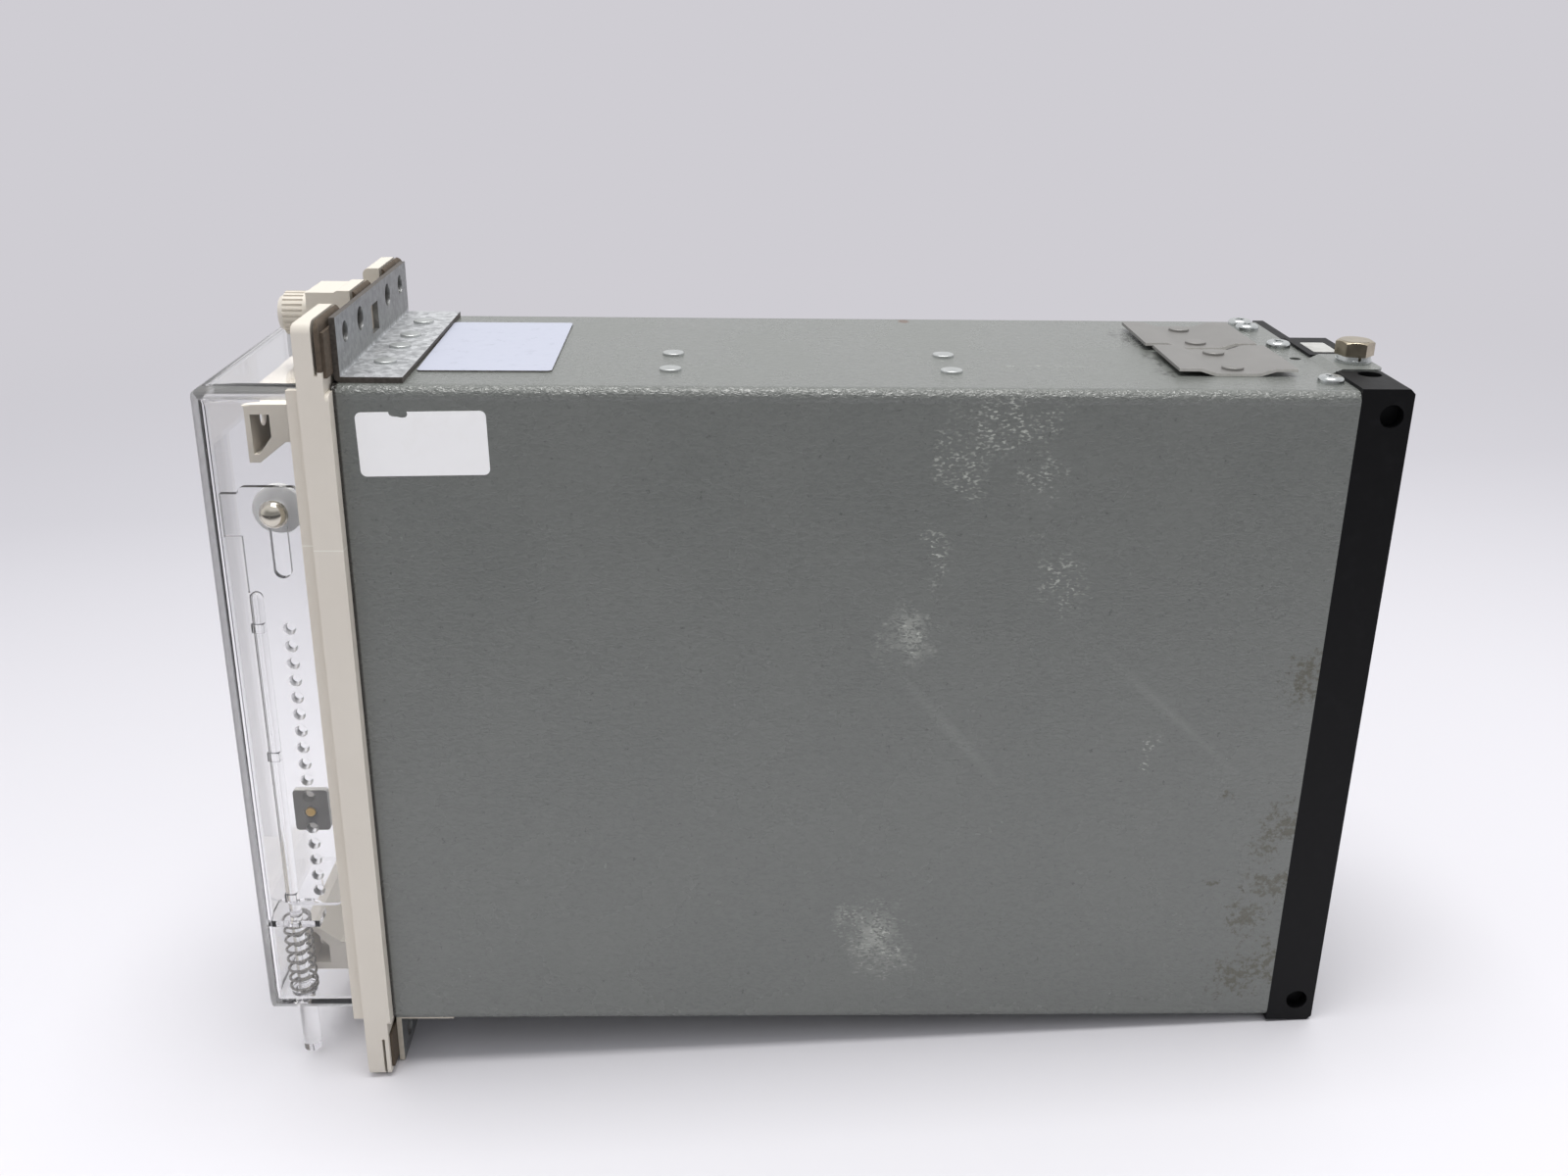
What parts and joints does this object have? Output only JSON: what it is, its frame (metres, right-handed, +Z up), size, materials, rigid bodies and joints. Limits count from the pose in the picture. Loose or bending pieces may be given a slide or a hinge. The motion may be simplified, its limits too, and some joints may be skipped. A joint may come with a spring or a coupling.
{
  "type": "protection relay",
  "caption": "Narrow flush-mounting protection relay: grey draw-out case, cream front frame, clear cover with a sprung reset rod and a rear terminal block.",
  "frame": {"origin": "centre of the four panel screws, on the panel face that the brackets bear on", "axes": "+Y into the panel towards the terminals, -Y out of the front, +X to the right when the front is seen, +Z up"},
  "size_m": [0.0776, 0.2444, 0.177],
  "materials": {
    "grey_paint": "textured grey paint, scuffed",
    "cream_moulding": "satin cream moulding",
    "zinc_sheet": "dull zinc plate",
    "bright_rivet": "bright rivet",
    "rubber_strip": "aged brown rubber",
    "ivory_moulding": "ivory moulding",
    "black_moulding": "black moulding",
    "brass": "plain brass",
    "plated_screw": "bright plated steel",
    "nickel_bolt": "nickel plated, warm tone",
    "anodised_plate": "satin plate",
    "aluminium_sheet": "mill finish sheet",
    "green_board": "green solder mask",
    "laminated_iron": "varnished laminations",
    "winding": "taped copper winding",
    "relay_cover": "blue moulded cover",
    "sleeved_can": "sleeved can",
    "red_lens": "red lens",
    "clear_plastic": "clear moulding",
    "clear_slide": "clear moulding",
    "chrome_stud": "polished",
    "white_nylon": "translucent white nylon",
    "spring_steel": "spring wire",
    "grey_moulding": "grey moulding"
  },
  "bodies": {
    "case": {"case_shell": "grey_paint", "front_frame": "cream_moulding", "top_bracket": "zinc_sheet", "bottom_bracket": "zinc_sheet", "bracket_rivets": "bright_rivet", "frame_gaskets": "rubber_strip", "top_guide": "ivory_moulding", "bottom_guide": "ivory_moulding", "guide_rivets": "bright_rivet", "coupling_plate_right": "zinc_sheet", "coupling_plate_left": "zinc_sheet", "coupling_rivets": "bright_rivet", "terminal_block": "black_moulding", "blanking_strip": "black_moulding", "terminal_tags": "brass", "terminal_screws": "plated_screw", "block_screws": "plated_screw", "earth_bolt": "nickel_bolt", "earth_washers": "nickel_bolt", "cover_studs": "plated_screw"},
    "unit": {"front_plate": "anodised_plate", "top_handle": "cream_moulding", "bottom_handle": "cream_moulding", "handle_screws": "plated_screw", "chassis_top": "aluminium_sheet", "chassis_bottom": "aluminium_sheet", "main_board": "green_board", "side_board": "green_board", "board_spacers": "brass", "transformer_core": "laminated_iron", "transformer_coil": "winding", "output_relays": "relay_cover", "capacitors": "sleeved_can", "rear_connector": "black_moulding", "plug_blades": "brass", "indicator_lens": "red_lens"},
    "cover": {"front_cover": "clear_plastic", "guide_stud": "chrome_stud", "guide_bush": "white_nylon", "reset_spring": "spring_steel"},
    "upper_nut": {"top_nut": "cream_moulding"},
    "lower_nut": {"bottom_nut": "cream_moulding"},
    "reset": {"reset_slide": "clear_slide", "reset_pad": "grey_moulding", "reset_pin": "brass"}
  },
  "joints": [
    {"name": "unit_withdraw", "type": "slide", "parent": "case", "child": "unit", "axis": [0, -1, 0], "range_m": [0, 0.18]},
    {"name": "cover_pull", "type": "slide", "parent": "unit", "child": "cover", "axis": [0, -1, 0], "range_m": [0, 0.05]},
    {"name": "upper_nut_turn", "type": "hinge", "parent": "cover", "child": "upper_nut", "pos_m": [0, -0.0164, 0.0825], "axis": [0, -1, 0], "continuous": true},
    {"name": "lower_nut_turn", "type": "hinge", "parent": "cover", "child": "lower_nut", "pos_m": [0, -0.0164, -0.0825], "axis": [0, -1, 0], "continuous": true},
    {"name": "reset_push", "type": "slide", "parent": "cover", "child": "reset", "axis": [0, 0, 1], "range_m": [0, 0.006], "stiffness_N_per_m": 300, "springref_m": -0.006, "deforming": ["reset_spring"]}
  ]
}
